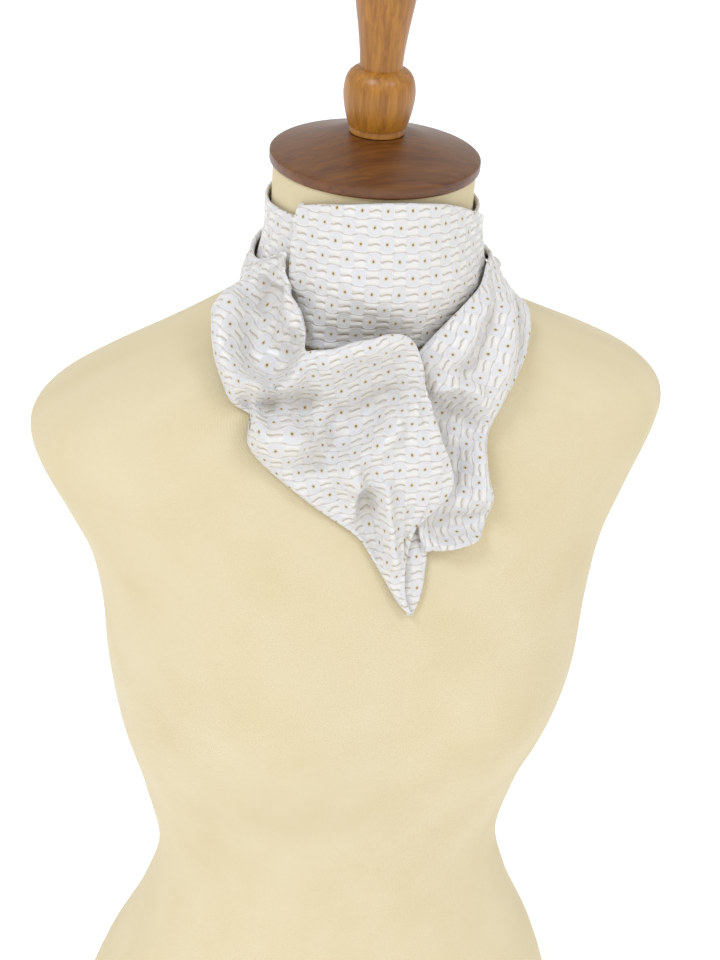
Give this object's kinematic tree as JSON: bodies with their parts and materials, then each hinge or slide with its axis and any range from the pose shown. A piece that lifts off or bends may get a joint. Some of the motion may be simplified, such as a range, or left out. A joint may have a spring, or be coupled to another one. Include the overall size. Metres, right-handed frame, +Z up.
{
  "type": "cravat on a dress form",
  "caption": "Pre-shaped riding cravat in small-figured jacquard, draped in two crossed ends over a flat throat plate, on a limbless dress form with a turned neck cap.",
  "frame": {"origin": "the middle of the flat base that the form stands on, in the middle of the whole thing's box", "axes": "+Z up along the neck's axis, -Y the front, +X to the right of a viewer who faces the front"},
  "size_m": [0.3754, 0.2398, 0.817],
  "materials": {
    "form_canvas": "matte cream canvas stretched over the form",
    "cap_wood": "satin varnish over a walnut stain",
    "finial_wood": "satin varnish over an amber stain",
    "jacquard": "ivory jacquard, matt and satin squares in turn with a small gold dot"
  },
  "bodies": {
    "root": {"dress_form": "form_canvas", "neck_cap": "cap_wood", "finial": "finial_wood", "neck_band": "jacquard", "throat_plate": "jacquard", "left_swag": "jacquard", "centre_fall": "jacquard", "right_swag": "jacquard", "right_loop": "jacquard", "tail": "jacquard"}
  },
  "joints": []
}
